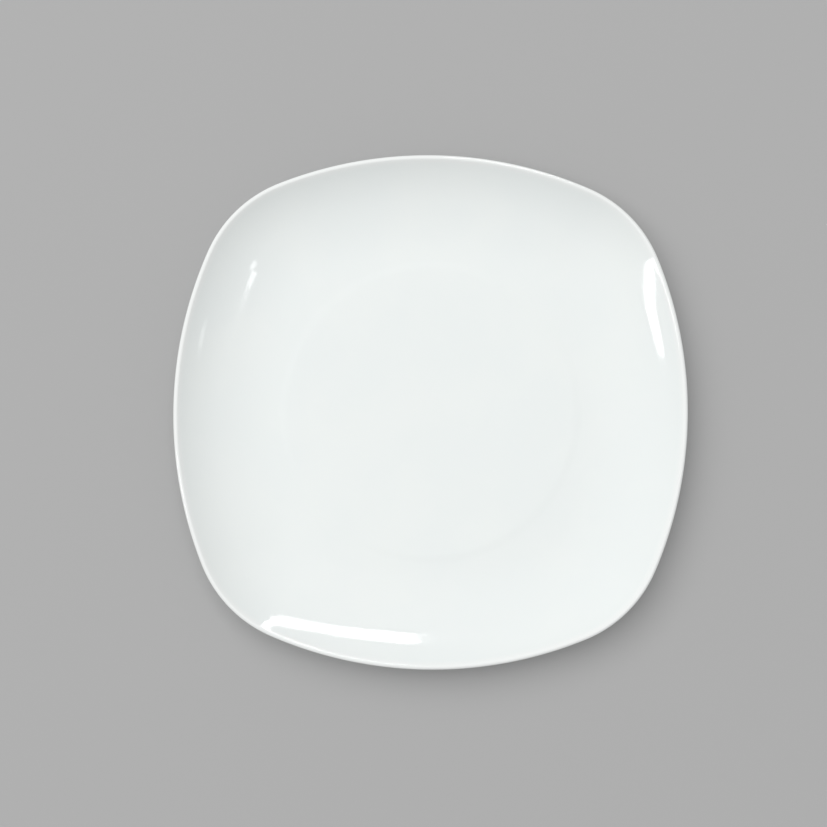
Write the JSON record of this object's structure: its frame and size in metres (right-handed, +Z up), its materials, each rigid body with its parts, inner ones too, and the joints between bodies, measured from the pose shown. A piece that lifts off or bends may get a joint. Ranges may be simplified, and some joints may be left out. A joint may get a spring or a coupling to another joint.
{
  "type": "square dinner plate",
  "caption": "Square coupe dinner plate in glazed white porcelain: flat floor, wall sweeping up to a rounded lip, bowed sides, round corners and a round foot ring.",
  "frame": {"origin": "on the ground under the middle of the plate, in the plane of the foot ring's bare band", "axes": "+Z up, out of the dish; X and Y square to the sides, and the plate is the same along both"},
  "size_m": [0.265, 0.265, 0.0225],
  "materials": {
    "bare_porcelain": "matt fired porcelain, ground smooth on the foot",
    "clear_glaze": "high gloss white"
  },
  "bodies": {
    "root": {"porcelain_body": "bare_porcelain", "outer_glaze": "clear_glaze", "foot_recess_glaze": "clear_glaze"}
  },
  "joints": []
}
